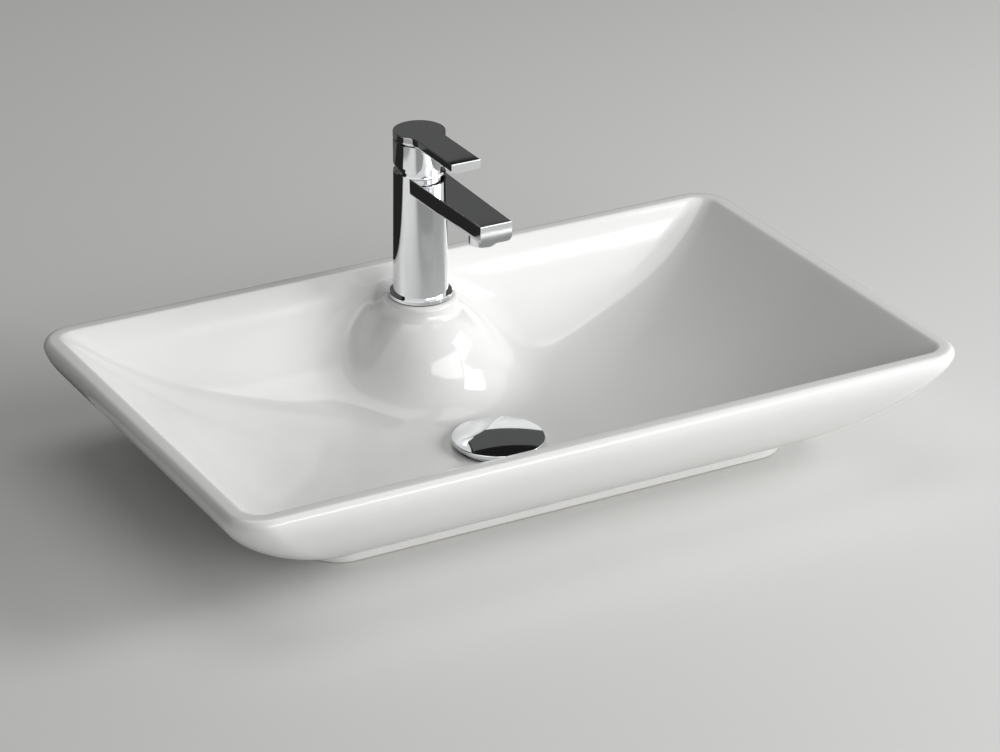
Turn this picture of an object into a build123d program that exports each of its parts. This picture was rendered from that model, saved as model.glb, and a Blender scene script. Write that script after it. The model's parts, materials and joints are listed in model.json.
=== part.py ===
from build123d import *
from math import cos, radians, sin
import os

# Countertop basin with its single-lever mixer tap and its press-to-close waste.
# Millimetres. The origin lies on the waste axis, in the plane of the worktop that the foot rests on.
# +X runs along the length, -Y faces the user and +Z is up.

os.makedirs("parts", exist_ok=True)

# Basin outline and heights
rim_length = 600.0
rim_width = 370.0
rim_height = 95.0
rim_flat = 13.0
rim_corner_r = 29.0
rim_round = 5.5
rim_inner_round = 3.0
rim_band = 6.0

# Outer wall: how far it has drawn in, and how low it is, at the points that steer its curve
foot_height = 9.0
side_draw_in = 97.0
side_bulge_in = 56.0
front_draw_in = 81.5
front_bulge_in = 48.0
back_draw_in = 22.0
back_bulge_in = 13.0
wall_shoulder_drop = 24.0
wall_bulge_drop = 75.0
wall_corner_r = 37.0
wall_corner_rise = 0.6
wall_count = 9

# Foot ring
foot_step = 2.0
foot_wall = 11.0
foot_corner_r = 30.0
foot_edge_round = 1.5

# Bowl: the same kind of curve for its long and its short sides
bowl_depth = 85.0
bowl_corner_r = 15.0
bowl_shoulder_drop = 22.5
bowl_side_shoulder = 33.0
bowl_side_turn = 77.0
bowl_front_shoulder = 17.5
bowl_front_turn = 20.0
bowl_rounding = 1.27
bowl_floor_r = 36.0
bowl_skin = 8.0
bowl_count = 9

# Raised boss that carries the tap
tap_from_back = 59.0
boss_drop = 10.0
boss_r = 29.0
boss_lip_round = 3.5
boss_neck_r = 34.0
boss_neck_drop = 12.0
boss_swell_r = 45.5
boss_swell_drop = 22.5
boss_shoulder_r = 54.0
boss_shoulder_drop = 40.0
boss_foot_r = 66.0
boss_blend_r = 8.0
boss_slab = 14.0
boss_hollow_r = 22.0
tap_hole_r = 17.0

# Waste seat in the bowl
waste_hole_r = 23.0
seat_clear = 1.0
seat_depth = 2.0
seat_pad_r = 46.0
pad_thick = 9.0

# Clearances
fit = 0.05
seal_gap = 0.3
run_gap = 0.3

# Waste fitting, with a one and a quarter inch tail
tail_r = 20.95
tail_bore_r = 18.5
tail_length = 70.0
tail_chamfer = 1.0
tail_groove_r = 20.3
tail_groove_width = 2.0
free_tail = 40.0
flange_r = 32.0
flange_thick = 1.7
flange_cone = 1.5
flange_seal_thick = 1.0
flange_seal_width = 6.0
bridge_drop = 14.0
bridge_thick = 8.0
bridge_hub_r = 8.0
bridge_arm = 3.0
cone_seal_thick = 5.0
cone_seal_r = 30.0
slip_washer_thick = 1.5
slip_washer_r = 29.0
back_nut_thick = 9.0
back_nut_flats = 52.0
back_nut_collar_r = 29.0
back_nut_collar = 2.5

# Waste cover and its click mechanism
cover_r = 35.75
cover_edge = 3.4
cover_crown = 3.2
cover_lift = 2.5
cover_edge_round = 0.8
cover_plate_thick = 2.0
cover_skirt = 2.0
cover_hub_r = 7.0
cover_hub_length = 6.5
cover_seal_inner_r = 19.5
cover_seal_outer_r = 25.0
plunger_r = 3.0
plunger_in_hub = 4.5
plunger_below = 20.0
housing_r = 4.95
housing_above = 10.0
housing_below = 6.0
housing_collar_r = 7.5
housing_collar = 3.0
spring_wire_r = 0.4
spring_turns = 5

# Tap column
column_foot_r = 21.6
column_top_r = 20.2
column_top = 190.3
ring_r = 24.85
ring_thick = 3.2
ring_bore_r = 18.0
ring_chamfer = 0.6
base_seal_thick = 0.8
base_seal_r = 24.2
inlet_r = 5.0
inlet_depth = 12.0
inlet_x = 7.2
inlet_y = -2.0
water_bore_r = 1.9
water_bore_x = 5.2
water_bore_y = -3.6
outlet_bore_r = 2.4
outlet_bore_y = 5.0
cartridge_seat = 160.0
cartridge_bore_r = 13.35
nut_bore_r = 14.6
nut_bore_depth = 7.6
chamber_drop = 8.0
chamber_height = 4.0
chamber_half_width = 2.8
riser_r = 1.7
riser_circle_r = 16.0
riser_angle = 20.0

# Spout
spout_top = 189.0
spout_thick = 15.0
spout_reach = 123.0
spout_root_width = 31.0
spout_bury = 10.0
spout_tip_width = 26.4
spout_under_round = 4.0
spout_edge_round = 0.6
channel_width = 16.0
channel_height = 7.0
channel_roof = 4.0
channel_start = 15.7
aerator_reach = 101.0
aerator_r = 10.5
aerator_bore_r = 9.6
aerator_drop = 8.0
aerator_thread = 7.0
aerator_wall = 1.3
aerator_insert_recess = 1.0
aerator_insert_length = 12.0
aerator_plate = 1.2
aerator_hole_r = 0.9
aerator_washer_thick = 1.6

# Cartridge
base_height = 9.7
plug_height = 8.2
shell_bore_r = 11.56
shell_neck_r = 12.6
shell_above_nut = 7.7
disc_thick = 3.0
fixed_disc_r = 11.4
moving_disc_r = 8.8
pocket_depth = 1.4
disc_gap = 0.05
carrier_thick = 5.0
socket_r = 2.4
socket_floor = 0.5
rotor_r = 11.5
rotor_height = 10.0
rotor_slot_width = 7.4
rotor_slot_front = 7.4
rotor_slot_back = 5.8
pin_r = 1.25
pin_fit = 0.04
port_seal_ring_r = 1.0
port_seal_squeeze = 0.3
port_seal_height = 1.3

# Lever and its spindle
cap_r = 20.2
cap_wall = 1.6
cap_gap = 5.7
cap_height = 26.0
cap_roof = 9.0
cap_boss_r = 9.5
cap_boss_length = 10.0
lever_width = 24.6
lever_reach = 76.0
lever_thick = 7.5
lever_neck_r = 14.0
lever_under_round = 3.0
lever_edge_round = 0.5
spindle_r = 3.5
spindle_square = 6.8
spindle_arm = 9.0
spindle_ball_r = 2.0
spindle_waist_r = 1.5
grub_r = 2.45
grub_length = 5.5
grub_height = 12.0
plug_r = 3.0
plug_thick = 1.5
shoulder_r = 17.4

# Tap fixing under the boss
stud_r = 4.0
stud_y = 9.5
stud_in_body = 12.0
stud_below = 33.0
clamp_r = 20.5
clamp_slot_r = 13.0
clamp_slot_y = -2.0
clamp_seal_thick = 2.5
clamp_plate_thick = 2.5
clamp_nut_flats = 13.0
clamp_nut_height = 6.5

# Heights that follow
boss_top = rim_height - boss_drop
bowl_floor = rim_height - bowl_depth
boss_under = boss_top - boss_slab
half_length = rim_length / 2
half_width = rim_width / 2
tap_y = half_width - tap_from_back
pad_under = bowl_floor - pad_thick
ring_bottom = boss_top + base_seal_thick
column_foot = ring_bottom + ring_thick
spout_under = spout_top - spout_thick
nut_seat = column_top - nut_bore_depth
cap_foot = column_top + cap_gap
pivot_z = cap_foot
cap_top = cap_foot + cap_height
cap_roof_under = cap_top - cap_roof
tap_axis = Location((0, tap_y, 0))


def bezier(start, first, second, end, t):
    """Cubic through start and end, steered by the two values between them."""
    s = 1 - t
    return start * s**3 + 3 * first * s * s * t + 3 * second * s * t * t + end * t**3


def outline(length, width, corner_r, centre_y, height):
    """Rounded rectangle on a level plane."""
    with BuildSketch(Plane.XY.offset(height)) as face:
        with Locations((0, centre_y)):
            RectangleRounded(length, width, corner_r)
    return face.sketch


def wall_outline(t):
    """Outer wall at t, from 0 under the rim band to 1 at the top of the foot."""
    drop = bezier(rim_band, wall_shoulder_drop, wall_bulge_drop, rim_height - foot_height, t)
    side = bezier(0, 0, side_bulge_in, side_draw_in, t)
    front = bezier(0, 0, front_bulge_in, front_draw_in, t)
    back = bezier(0, 0, back_bulge_in, back_draw_in, t)
    corner = rim_corner_r + (wall_corner_r - rim_corner_r) * t**wall_corner_rise
    length = rim_length - 2 * side
    width = rim_width - front - back
    return outline(length, width, corner, (front - back) / 2, rim_height - drop)


def bowl_outline(t, grow):
    """Bowl at t, from 0 at the rim to 1 at its floor, grown outwards and down by grow."""
    top_x = half_length - rim_flat
    top_y = half_width - rim_flat
    drop = bezier(0, bowl_shoulder_drop, bowl_depth, bowl_depth, t)
    half_x = top_x - bezier(0, bowl_side_shoulder, bowl_side_turn, top_x - bowl_floor_r, t)
    half_y = top_y - bezier(0, bowl_front_shoulder, bowl_front_turn, top_y - bowl_floor_r, t)
    share = (top_y - half_y) / (top_y - bowl_floor_r)
    least = bowl_corner_r / top_y
    corner = (least + (1 - least) * share**bowl_rounding) * half_y
    corner = min(corner, half_x - fit, half_y - fit) + grow
    height = rim_height - drop - grow
    return outline(2 * (half_x + grow), 2 * (half_y + grow), corner, 0, height)


def loft_levels(section, count):
    """Loft through count outlines, which section draws at even steps from 0 to 1."""
    for step in range(count):
        add(section(step / (count - 1)))
    loft()


def tube(outer_r, inner_r, bottom, height):
    """Plain ring about the axis of whatever location is current."""
    with Locations((0, 0, bottom)):
        Cylinder(outer_r, height, align=(Align.CENTER, Align.CENTER, Align.MIN))
        if inner_r > 0:
            Cylinder(inner_r, height, align=(Align.CENTER, Align.CENTER, Align.MIN), mode=Mode.SUBTRACT)


def bore(radius, bottom, height):
    """Round hole about the axis of whatever location is current."""
    with Locations((0, 0, bottom)):
        Cylinder(radius, height, align=(Align.CENTER, Align.CENTER, Align.MIN), mode=Mode.SUBTRACT)


# Space inside the bowl, with the boss standing in it
with BuildPart() as bowl_space:
    loft_levels(lambda t: bowl_outline(t, 0.0), bowl_count)
    with BuildSketch(Plane.XY.offset(rim_height)):
        RectangleRounded(rim_length - 2 * rim_flat, rim_width - 2 * rim_flat, bowl_corner_r)
    extrude(amount=rim_band)
    with BuildSketch(Plane.YZ):
        with BuildLine():
            Line((tap_y, 0), (tap_y, boss_top))
            Line((tap_y, boss_top), (tap_y + boss_r - boss_lip_round, boss_top))
            lip = (tap_y + boss_r, boss_top - boss_lip_round)
            RadiusArc((tap_y + boss_r - boss_lip_round, boss_top), lip, boss_lip_round)
            neck = (tap_y + boss_neck_r, boss_top - boss_neck_drop)
            swell = (tap_y + boss_swell_r, boss_top - boss_swell_drop)
            shoulder = (tap_y + boss_shoulder_r, boss_top - boss_shoulder_drop)
            foot = (tap_y + boss_foot_r, 0)
            Spline(lip, neck, swell, shoulder, foot, tangents=((0, -1), (0.3, -1)))
            Line(foot, (tap_y, 0))
        make_face()
    revolve(axis=Axis((0, tap_y, 0), (0, 0, 1)), mode=Mode.SUBTRACT)
    front_of_boss = (0, tap_y - boss_foot_r, bowl_floor)
    fillet(edges().filter_by(GeomType.BSPLINE).sort_by_distance(front_of_boss)[0], boss_blend_r)

# Bowl skin seen from below
with BuildPart() as bowl_under:
    loft_levels(lambda t: bowl_outline(t, bowl_skin), bowl_count)

foot_half_length = half_length - side_draw_in - foot_step
foot_front = half_width - front_draw_in - foot_step / 2
foot_back = half_width - back_draw_in - foot_step / 2
foot_length = 2 * foot_half_length
foot_width = foot_front + foot_back
foot_centre = (foot_back - foot_front) / 2

with BuildPart() as foot_hollow:
    with BuildSketch(Plane.XY.offset(-1)):
        with Locations((0, foot_centre)):
            RectangleRounded(foot_length - 2 * foot_wall, foot_width - 2 * foot_wall, foot_corner_r - foot_wall)
    extrude(amount=boss_under - boss_slab)
    add(bowl_under.part, mode=Mode.SUBTRACT)
    bore(seat_pad_r, pad_under, rim_height)

with BuildPart() as basin_bowl:
    loft_levels(wall_outline, wall_count)
    with BuildSketch(Plane.XY.offset(rim_height - rim_band)):
        RectangleRounded(rim_length, rim_width, rim_corner_r)
    extrude(amount=rim_band)
    fillet(edges().group_by(Axis.Z)[-1], rim_round)
    with BuildSketch():
        with Locations((0, foot_centre)):
            RectangleRounded(foot_length, foot_width, foot_corner_r)
    extrude(amount=foot_height + foot_step)
    fillet(edges().group_by(Axis.Z)[0], foot_edge_round)
    add(bowl_space.part, mode=Mode.SUBTRACT)
    rim_edges = edges().filter_by_position(Axis.Z, rim_height - fit, rim_height + fit)
    inner_edges = [e for e in rim_edges if abs(e.center().X) < half_length - rim_flat + fit]
    inner_edges = [e for e in inner_edges if abs(e.center().Y) < half_width - rim_flat + fit]
    fillet(inner_edges, rim_inner_round)
    add(foot_hollow.part, mode=Mode.SUBTRACT)
    bore(waste_hole_r, 0, rim_height)
    bore(flange_r + seat_clear, bowl_floor - seat_depth, rim_height)
    with Locations(tap_axis):
        bore(boss_hollow_r, 0, boss_under)
        bore(tap_hole_r, boss_under, boss_slab)
basin_bowl.part.label = "basin_bowl"
export_step(basin_bowl.part, "parts/basin_bowl.step")

# Waste: the flanged body with its tail and the bridge that carries the click housing
seat_z = bowl_floor - seat_depth
flange_under = seat_z + flange_seal_thick
flange_top = flange_under + flange_thick
tail_end = flange_under - tail_length
bridge_top = seat_z - bridge_drop
bridge_under = bridge_top - bridge_thick

with BuildPart() as waste_flange_seal:
    tube(flange_r - 1, flange_r - 1 - flange_seal_width, seat_z, flange_seal_thick)
waste_flange_seal.part.label = "waste_flange_seal"
export_step(waste_flange_seal.part, "parts/waste_flange_seal.step")

with BuildPart() as waste_body:
    tube(tail_r, 0, tail_end, tail_length)
    chamfer(edges().group_by(Axis.Z)[0], tail_chamfer)
    with BuildSketch(Plane.XY.offset(tail_end + tail_chamfer + free_tail)):
        Circle(tail_r + 1)
        Circle(tail_groove_r, mode=Mode.SUBTRACT)
    extrude(amount=tail_groove_width, mode=Mode.SUBTRACT)
    tube(flange_r, 0, flange_under, flange_thick)
    fillet(edges().group_by(Axis.Z)[-1], flange_thick / 2)
    bore(tail_bore_r, tail_end, tail_length + flange_thick)
    mouth = edges().filter_by(GeomType.CIRCLE).group_by(Axis.Z)[-1].sort_by(SortBy.RADIUS)[0]
    chamfer(mouth, flange_cone)
    with BuildSketch(Plane.XY.offset(bridge_under)):
        Rectangle(2 * tail_bore_r + 2 * fit, bridge_arm)
        Rectangle(bridge_arm, 2 * tail_bore_r + 2 * fit)
        Circle(bridge_hub_r)
    extrude(amount=bridge_thick)
    bore(housing_r + fit, bridge_under, bridge_thick)
waste_body.part.label = "waste_body"
export_step(waste_body.part, "parts/waste_body.step")

cone_seal_top = pad_under
cone_seal_under = cone_seal_top - cone_seal_thick
with BuildPart() as waste_cone_seal:
    tube(cone_seal_r, tail_r + fit, cone_seal_under, cone_seal_thick)
    chamfer(edges().group_by(Axis.Z)[-1].sort_by(SortBy.RADIUS)[-1], 2.0)
waste_cone_seal.part.label = "waste_cone_seal"
export_step(waste_cone_seal.part, "parts/waste_cone_seal.step")

slip_under = cone_seal_under - slip_washer_thick
with BuildPart() as waste_slip_washer:
    tube(slip_washer_r, tail_r + fit, slip_under, slip_washer_thick)
waste_slip_washer.part.label = "waste_slip_washer"
export_step(waste_slip_washer.part, "parts/waste_slip_washer.step")

with BuildPart() as waste_back_nut:
    with BuildSketch(Plane.XY.offset(slip_under - back_nut_thick)):
        RegularPolygon(back_nut_flats / 2, 6, major_radius=False)
    extrude(amount=back_nut_thick)
    tube(back_nut_collar_r, 0, slip_under - back_nut_collar, back_nut_collar)
    bore(tail_r + fit, slip_under - back_nut_thick, back_nut_thick)
waste_back_nut.part.label = "waste_back_nut"
export_step(waste_back_nut.part, "parts/waste_back_nut.step")

# Waste cover, its seal, and the click mechanism that holds it down or lets it up
cover_under = bowl_floor + cover_lift
cover_shoulder = cover_under + cover_edge
cover_top = cover_shoulder + cover_crown
plate_under = cover_shoulder - cover_plate_thick
hub_end = cover_under - cover_hub_length + cover_skirt
dome_r = (cover_r**2 + cover_crown**2) / (2 * cover_crown)

with BuildPart() as waste_cover:
    with BuildSketch(Plane.XZ):
        with BuildLine():
            Line((0, plate_under), (cover_r - cover_skirt, plate_under))
            Line((cover_r - cover_skirt, plate_under), (cover_r - cover_skirt, cover_under))
            Line((cover_r - cover_skirt, cover_under), (cover_r, cover_under))
            Line((cover_r, cover_under), (cover_r, cover_shoulder))
            RadiusArc((cover_r, cover_shoulder), (0, cover_top), -dome_r)
            Line((0, cover_top), (0, plate_under))
        make_face()
    revolve(axis=Axis.Z)
    rim = edges().filter_by(GeomType.CIRCLE).filter_by_position(Axis.Z, cover_under - fit, cover_shoulder + fit)
    fillet([e for e in rim if e.radius > cover_r - fit], cover_edge_round)
    tube(cover_hub_r, 0, hub_end, plate_under - hub_end)
    bore(plunger_r + fit, hub_end, plunger_in_hub + fit)
waste_cover.part.label = "waste_cover"
export_step(waste_cover.part, "parts/waste_cover.step")

seal_under = flange_top + seal_gap
with BuildPart() as waste_cover_seal:
    tube(cover_seal_outer_r, cover_seal_inner_r, seal_under, plate_under - seal_under)
    chamfer(edges().group_by(Axis.Z)[0], 0.6)
waste_cover_seal.part.label = "waste_cover_seal"
export_step(waste_cover_seal.part, "parts/waste_cover_seal.step")

plunger_end = hub_end - plunger_below
with BuildPart() as waste_plunger:
    tube(plunger_r, 0, plunger_end, hub_end + plunger_in_hub - plunger_end)
    chamfer(edges().group_by(Axis.Z)[0], 0.4)
waste_plunger.part.label = "waste_plunger"
export_step(waste_plunger.part, "parts/waste_plunger.step")

housing_end = bridge_under - housing_below
spring_height = plunger_end - run_gap - housing_end - 2
with BuildPart() as click_housing:
    tube(housing_r, 0, housing_end, bridge_top + housing_above - housing_end)
    tube(housing_collar_r, 0, bridge_top, housing_collar)
    bore(plunger_r + fit, housing_end + 2, rim_height)
click_housing.part.label = "click_housing"
export_step(click_housing.part, "parts/click_housing.step")

with BuildPart() as click_spring:
    coil_r = plunger_r - spring_wire_r - run_gap
    coil_height = spring_height - 2 * spring_wire_r
    with BuildLine() as coil:
        Helix(coil_height / spring_turns, coil_height, coil_r, center=(0, 0, housing_end + 2 + spring_wire_r))
    with BuildSketch(Plane(origin=coil.line @ 0, z_dir=coil.line % 0)):
        Circle(spring_wire_r)
    sweep(path=coil.line)
click_spring.part.label = "click_spring"
export_step(click_spring.part, "parts/click_spring.step")

# Tap column with its spout, in one casting
with BuildPart() as base_seal:
    with Locations(tap_axis):
        tube(base_seal_r, tap_hole_r, boss_top, base_seal_thick)
base_seal.part.label = "base_seal"
export_step(base_seal.part, "parts/base_seal.step")

with BuildPart() as base_ring:
    with Locations(tap_axis):
        tube(ring_r, ring_bore_r, ring_bottom, ring_thick)
    chamfer(edges().group_by(Axis.Z)[-1].sort_by(SortBy.RADIUS)[-1], ring_chamfer)
base_ring.part.label = "base_ring"
export_step(base_ring.part, "parts/base_ring.step")

spout_root = column_top_r - spout_bury
aerator_y = tap_y - aerator_reach
with BuildPart() as spout_arm:
    with BuildSketch(Plane.XY.offset(spout_under)):
        with BuildLine():
            Polyline(
                (spout_root_width / 2, tap_y - spout_root),
                (spout_tip_width / 2, tap_y - spout_reach),
                (-spout_tip_width / 2, tap_y - spout_reach),
                (-spout_root_width / 2, tap_y - spout_root),
                close=True,
            )
        make_face()
    extrude(amount=spout_thick)
    under = edges().group_by(Axis.Z)[0]
    long_edges = [e for e in under if abs(e.center().X) > fit]
    fillet(long_edges, spout_under_round)
    top = edges().group_by(Axis.Z)[-1]
    fillet([e for e in top if e.center().Y < tap_y - spout_root - fit], spout_edge_round)

with BuildPart() as tap_body:
    with BuildSketch(Plane.YZ):
        with BuildLine():
            Polyline(
                (tap_y, column_foot),
                (tap_y + column_foot_r, column_foot),
                (tap_y + column_top_r, column_top),
                (tap_y, column_top),
                close=True,
            )
        make_face()
    revolve(axis=Axis((0, tap_y, 0), (0, 0, 1)))
    chamfer(edges().group_by(Axis.Z)[-1], spout_edge_round)
    add(spout_arm.part)
    with Locations(tap_axis):
        bore(cartridge_bore_r, cartridge_seat, column_top - cartridge_seat)
        bore(nut_bore_r, nut_seat, nut_bore_depth)
        with Locations((inlet_x, inlet_y), (-inlet_x, inlet_y)):
            bore(inlet_r, column_foot, inlet_depth)
        with Locations((water_bore_x, water_bore_y), (-water_bore_x, water_bore_y)):
            bore(water_bore_r, column_foot, cartridge_seat - column_foot)
        with Locations((0, stud_y)):
            bore(stud_r + fit, column_foot, stud_in_body + fit)
        with Locations((0, outlet_bore_y)):
            bore(outlet_bore_r, cartridge_seat - chamber_drop, chamber_drop)
        channel_z = spout_top - channel_roof - channel_height
        chamber_z = cartridge_seat - chamber_drop
        chamber_front = -riser_circle_r - riser_r / 2
        chamber_back = outlet_bore_y + outlet_bore_r
        with Locations((0, 0, chamber_z)):
            with Locations((0, (chamber_front + chamber_back) / 2)):
                Box(
                    2 * chamber_half_width,
                    chamber_back - chamber_front,
                    chamber_height,
                    align=(Align.CENTER, Align.CENTER, Align.MIN),
                    mode=Mode.SUBTRACT,
                )
            with Locations((0, chamber_front + riser_r + 1)):
                Box(
                    channel_width,
                    2 * riser_r + 2,
                    chamber_height,
                    align=(Align.CENTER, Align.CENTER, Align.MIN),
                    mode=Mode.SUBTRACT,
                )
        for turn in (-riser_angle, 0, riser_angle):
            angle = radians(turn - 90)
            with Locations((riser_circle_r * cos(angle), riser_circle_r * sin(angle))):
                bore(riser_r, chamber_z, channel_z + channel_height / 2 - chamber_z)
        channel_length = aerator_reach - channel_start
        with Locations((0, -channel_start - channel_length / 2, channel_z)):
            Box(
                channel_width,
                channel_length,
                channel_height,
                align=(Align.CENTER, Align.CENTER, Align.MIN),
                mode=Mode.SUBTRACT,
            )
        with Locations((0, -aerator_reach)):
            bore(aerator_bore_r, spout_under - 1, channel_z + channel_height - spout_under + 1)
tap_body.part.label = "tap_body"
export_step(tap_body.part, "parts/tap_body.step")

# Aerator in the tip of the spout
aerator_axis = Location((0, aerator_y, 0))
aerator_end = spout_under - aerator_drop
with BuildPart() as aerator_housing:
    with Locations(aerator_axis):
        tube(aerator_r, 0, aerator_end, aerator_drop)
        tube(aerator_bore_r - fit, 0, spout_under, aerator_thread)
        bore(aerator_bore_r - aerator_wall, aerator_end, aerator_drop + aerator_thread)
    chamfer(edges().group_by(Axis.Z)[0].sort_by(SortBy.RADIUS)[-1], spout_edge_round)
aerator_housing.part.label = "aerator_housing"
export_step(aerator_housing.part, "parts/aerator_housing.step")

insert_r = aerator_bore_r - aerator_wall - fit
with BuildPart() as aerator_insert:
    with Locations(aerator_axis):
        tube(insert_r, insert_r - 1, aerator_end + aerator_insert_recess, aerator_insert_length)
        tube(insert_r, 0, aerator_end + aerator_insert_recess, aerator_plate)
        with HexLocations(1.7 * aerator_hole_r, 5, 5):
            bore(aerator_hole_r, aerator_end + aerator_insert_recess, aerator_plate)
aerator_insert.part.label = "aerator_insert"
export_step(aerator_insert.part, "parts/aerator_insert.step")

with BuildPart() as aerator_washer:
    with Locations(aerator_axis):
        tube(aerator_bore_r - fit, insert_r - 1.5, spout_under + aerator_thread, aerator_washer_thick)
aerator_washer.part.label = "aerator_washer"
export_step(aerator_washer.part, "parts/aerator_washer.step")

# Cartridge: seals, base, two ceramic discs, carrier, rotor and shell
base_under = cartridge_seat + port_seal_squeeze
base_shoulder = base_under + base_height
plug_top = base_shoulder + plug_height
fixed_disc_top = plug_top + disc_thick
moving_disc_under = fixed_disc_top + disc_gap
moving_disc_top = moving_disc_under + disc_thick
carrier_top = moving_disc_top + carrier_thick
rotor_under = carrier_top + run_gap
rotor_top = rotor_under + rotor_height
shell_top = column_top + shell_above_nut
ports = [(water_bore_x, water_bore_y), (-water_bore_x, water_bore_y), (0, outlet_bore_y)]
port_radii = [water_bore_r, water_bore_r, outlet_bore_r]

with BuildPart() as port_seals:
    with Locations(tap_axis):
        for place, radius in zip(ports, port_radii):
            with Locations(place):
                tube(radius + port_seal_ring_r, radius, cartridge_seat, port_seal_height)
port_seals.part.label = "port_seals"
export_step(port_seals.part, "parts/port_seals.step")

with BuildPart() as cartridge_base:
    with Locations(tap_axis):
        tube(cartridge_bore_r - fit, 0, base_under, base_height)
        tube(shell_bore_r - fit, 0, base_shoulder, plug_height)
        for place, radius in zip(ports, port_radii):
            with Locations(place):
                bore(radius, base_under, base_height + plug_height)
                bore(radius + port_seal_ring_r + fit, base_under, port_seal_height - port_seal_squeeze)
cartridge_base.part.label = "cartridge_base"
export_step(cartridge_base.part, "parts/cartridge_base.step")

with BuildPart() as fixed_disc:
    with Locations(tap_axis):
        tube(fixed_disc_r, 0, plug_top, disc_thick)
        for place, radius in zip(ports, port_radii):
            with Locations(place):
                bore(radius, plug_top, disc_thick)
fixed_disc.part.label = "fixed_disc"
export_step(fixed_disc.part, "parts/fixed_disc.step")

with BuildPart() as moving_disc:
    with Locations(tap_axis):
        tube(moving_disc_r, 0, moving_disc_under, disc_thick)
        pocket_front = water_bore_y + water_bore_r + 0.5
        with BuildSketch(Plane.XY.offset(moving_disc_under)):
            with Locations((0, (pocket_front + outlet_bore_y) / 2)):
                Rectangle(2 * water_bore_x, outlet_bore_y - pocket_front)
            with Locations((0, outlet_bore_y)):
                Circle(outlet_bore_r)
        extrude(amount=pocket_depth, mode=Mode.SUBTRACT)
moving_disc.part.label = "moving_disc"
export_step(moving_disc.part, "parts/moving_disc.step")

with BuildPart() as disc_carrier:
    with Locations(tap_axis):
        tube(moving_disc_r, 0, moving_disc_top, carrier_thick)
        bore(socket_r, moving_disc_top + socket_floor, carrier_thick)
disc_carrier.part.label = "disc_carrier"
export_step(disc_carrier.part, "parts/disc_carrier.step")

with BuildPart() as cartridge_rotor:
    with Locations(tap_axis):
        tube(rotor_r, 0, rotor_under, rotor_height)
        with Locations((0, (rotor_slot_back - rotor_slot_front) / 2, rotor_under)):
            Box(
                rotor_slot_width,
                rotor_slot_front + rotor_slot_back,
                rotor_height,
                align=(Align.CENTER, Align.CENTER, Align.MIN),
                mode=Mode.SUBTRACT,
            )
    with BuildSketch(Plane.YZ.offset(-rotor_r)):
        with Locations((tap_y, pivot_z)):
            Circle(pin_r)
    extrude(amount=2 * rotor_r, mode=Mode.SUBTRACT)
cartridge_rotor.part.label = "cartridge_rotor"
export_step(cartridge_rotor.part, "parts/cartridge_rotor.step")

with BuildPart() as pivot_pin:
    pin_half = rotor_r - 0.5
    with BuildSketch(Plane.YZ.offset(-pin_half)):
        with Locations((tap_y, pivot_z)):
            Circle(pin_r - pin_fit / 2)
    extrude(amount=2 * pin_half)
pivot_pin.part.label = "pivot_pin"
export_step(pivot_pin.part, "parts/pivot_pin.step")

with BuildPart() as cartridge_shell:
    with Locations(tap_axis):
        tube(cartridge_bore_r - fit, 0, base_shoulder, nut_seat - base_shoulder)
        tube(shell_neck_r, 0, nut_seat, shell_top - nut_seat)
        bore(shell_bore_r, base_shoulder, shell_top - base_shoulder)
cartridge_shell.part.label = "cartridge_shell"
export_step(cartridge_shell.part, "parts/cartridge_shell.step")

with BuildPart() as cartridge_nut:
    with Locations(tap_axis):
        tube(nut_bore_r - fit, shell_neck_r + fit, nut_seat, nut_bore_depth)
cartridge_nut.part.label = "cartridge_nut"
export_step(cartridge_nut.part, "parts/cartridge_nut.step")

with BuildPart() as shoulder_ring:
    with Locations(tap_axis):
        tube(shoulder_r, shell_neck_r + fit, column_top, cap_gap)
    chamfer(edges().group_by(Axis.Z)[-1].sort_by(SortBy.RADIUS)[-1], spout_edge_round)
shoulder_ring.part.label = "shoulder_ring"
export_step(shoulder_ring.part, "parts/shoulder_ring.step")

# Spindle, lever and the screw that joins them
roof_above_pivot = cap_roof_under - pivot_z
with BuildPart() as lever_spindle:
    with Locations(tap_axis):
        tube(spindle_r, 0, pivot_z - spindle_arm / 2, spindle_arm / 2 + roof_above_pivot - cap_boss_length)
        with Locations((0, 0, cap_roof_under - cap_boss_length)):
            Box(
                spindle_square,
                spindle_square,
                cap_boss_length,
                align=(Align.CENTER, Align.CENTER, Align.MIN),
            )
        tube(spindle_waist_r, 0, pivot_z - spindle_arm, spindle_arm / 2)
        with Locations((0, 0, pivot_z - spindle_arm)):
            Sphere(spindle_ball_r)
    with BuildSketch(Plane.YZ.offset(-spindle_r)):
        with Locations((tap_y, pivot_z)):
            Circle(pin_r + pin_fit / 2)
    extrude(amount=2 * spindle_r, mode=Mode.SUBTRACT)
lever_spindle.part.label = "lever_spindle"
export_step(lever_spindle.part, "parts/lever_spindle.step")

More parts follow.
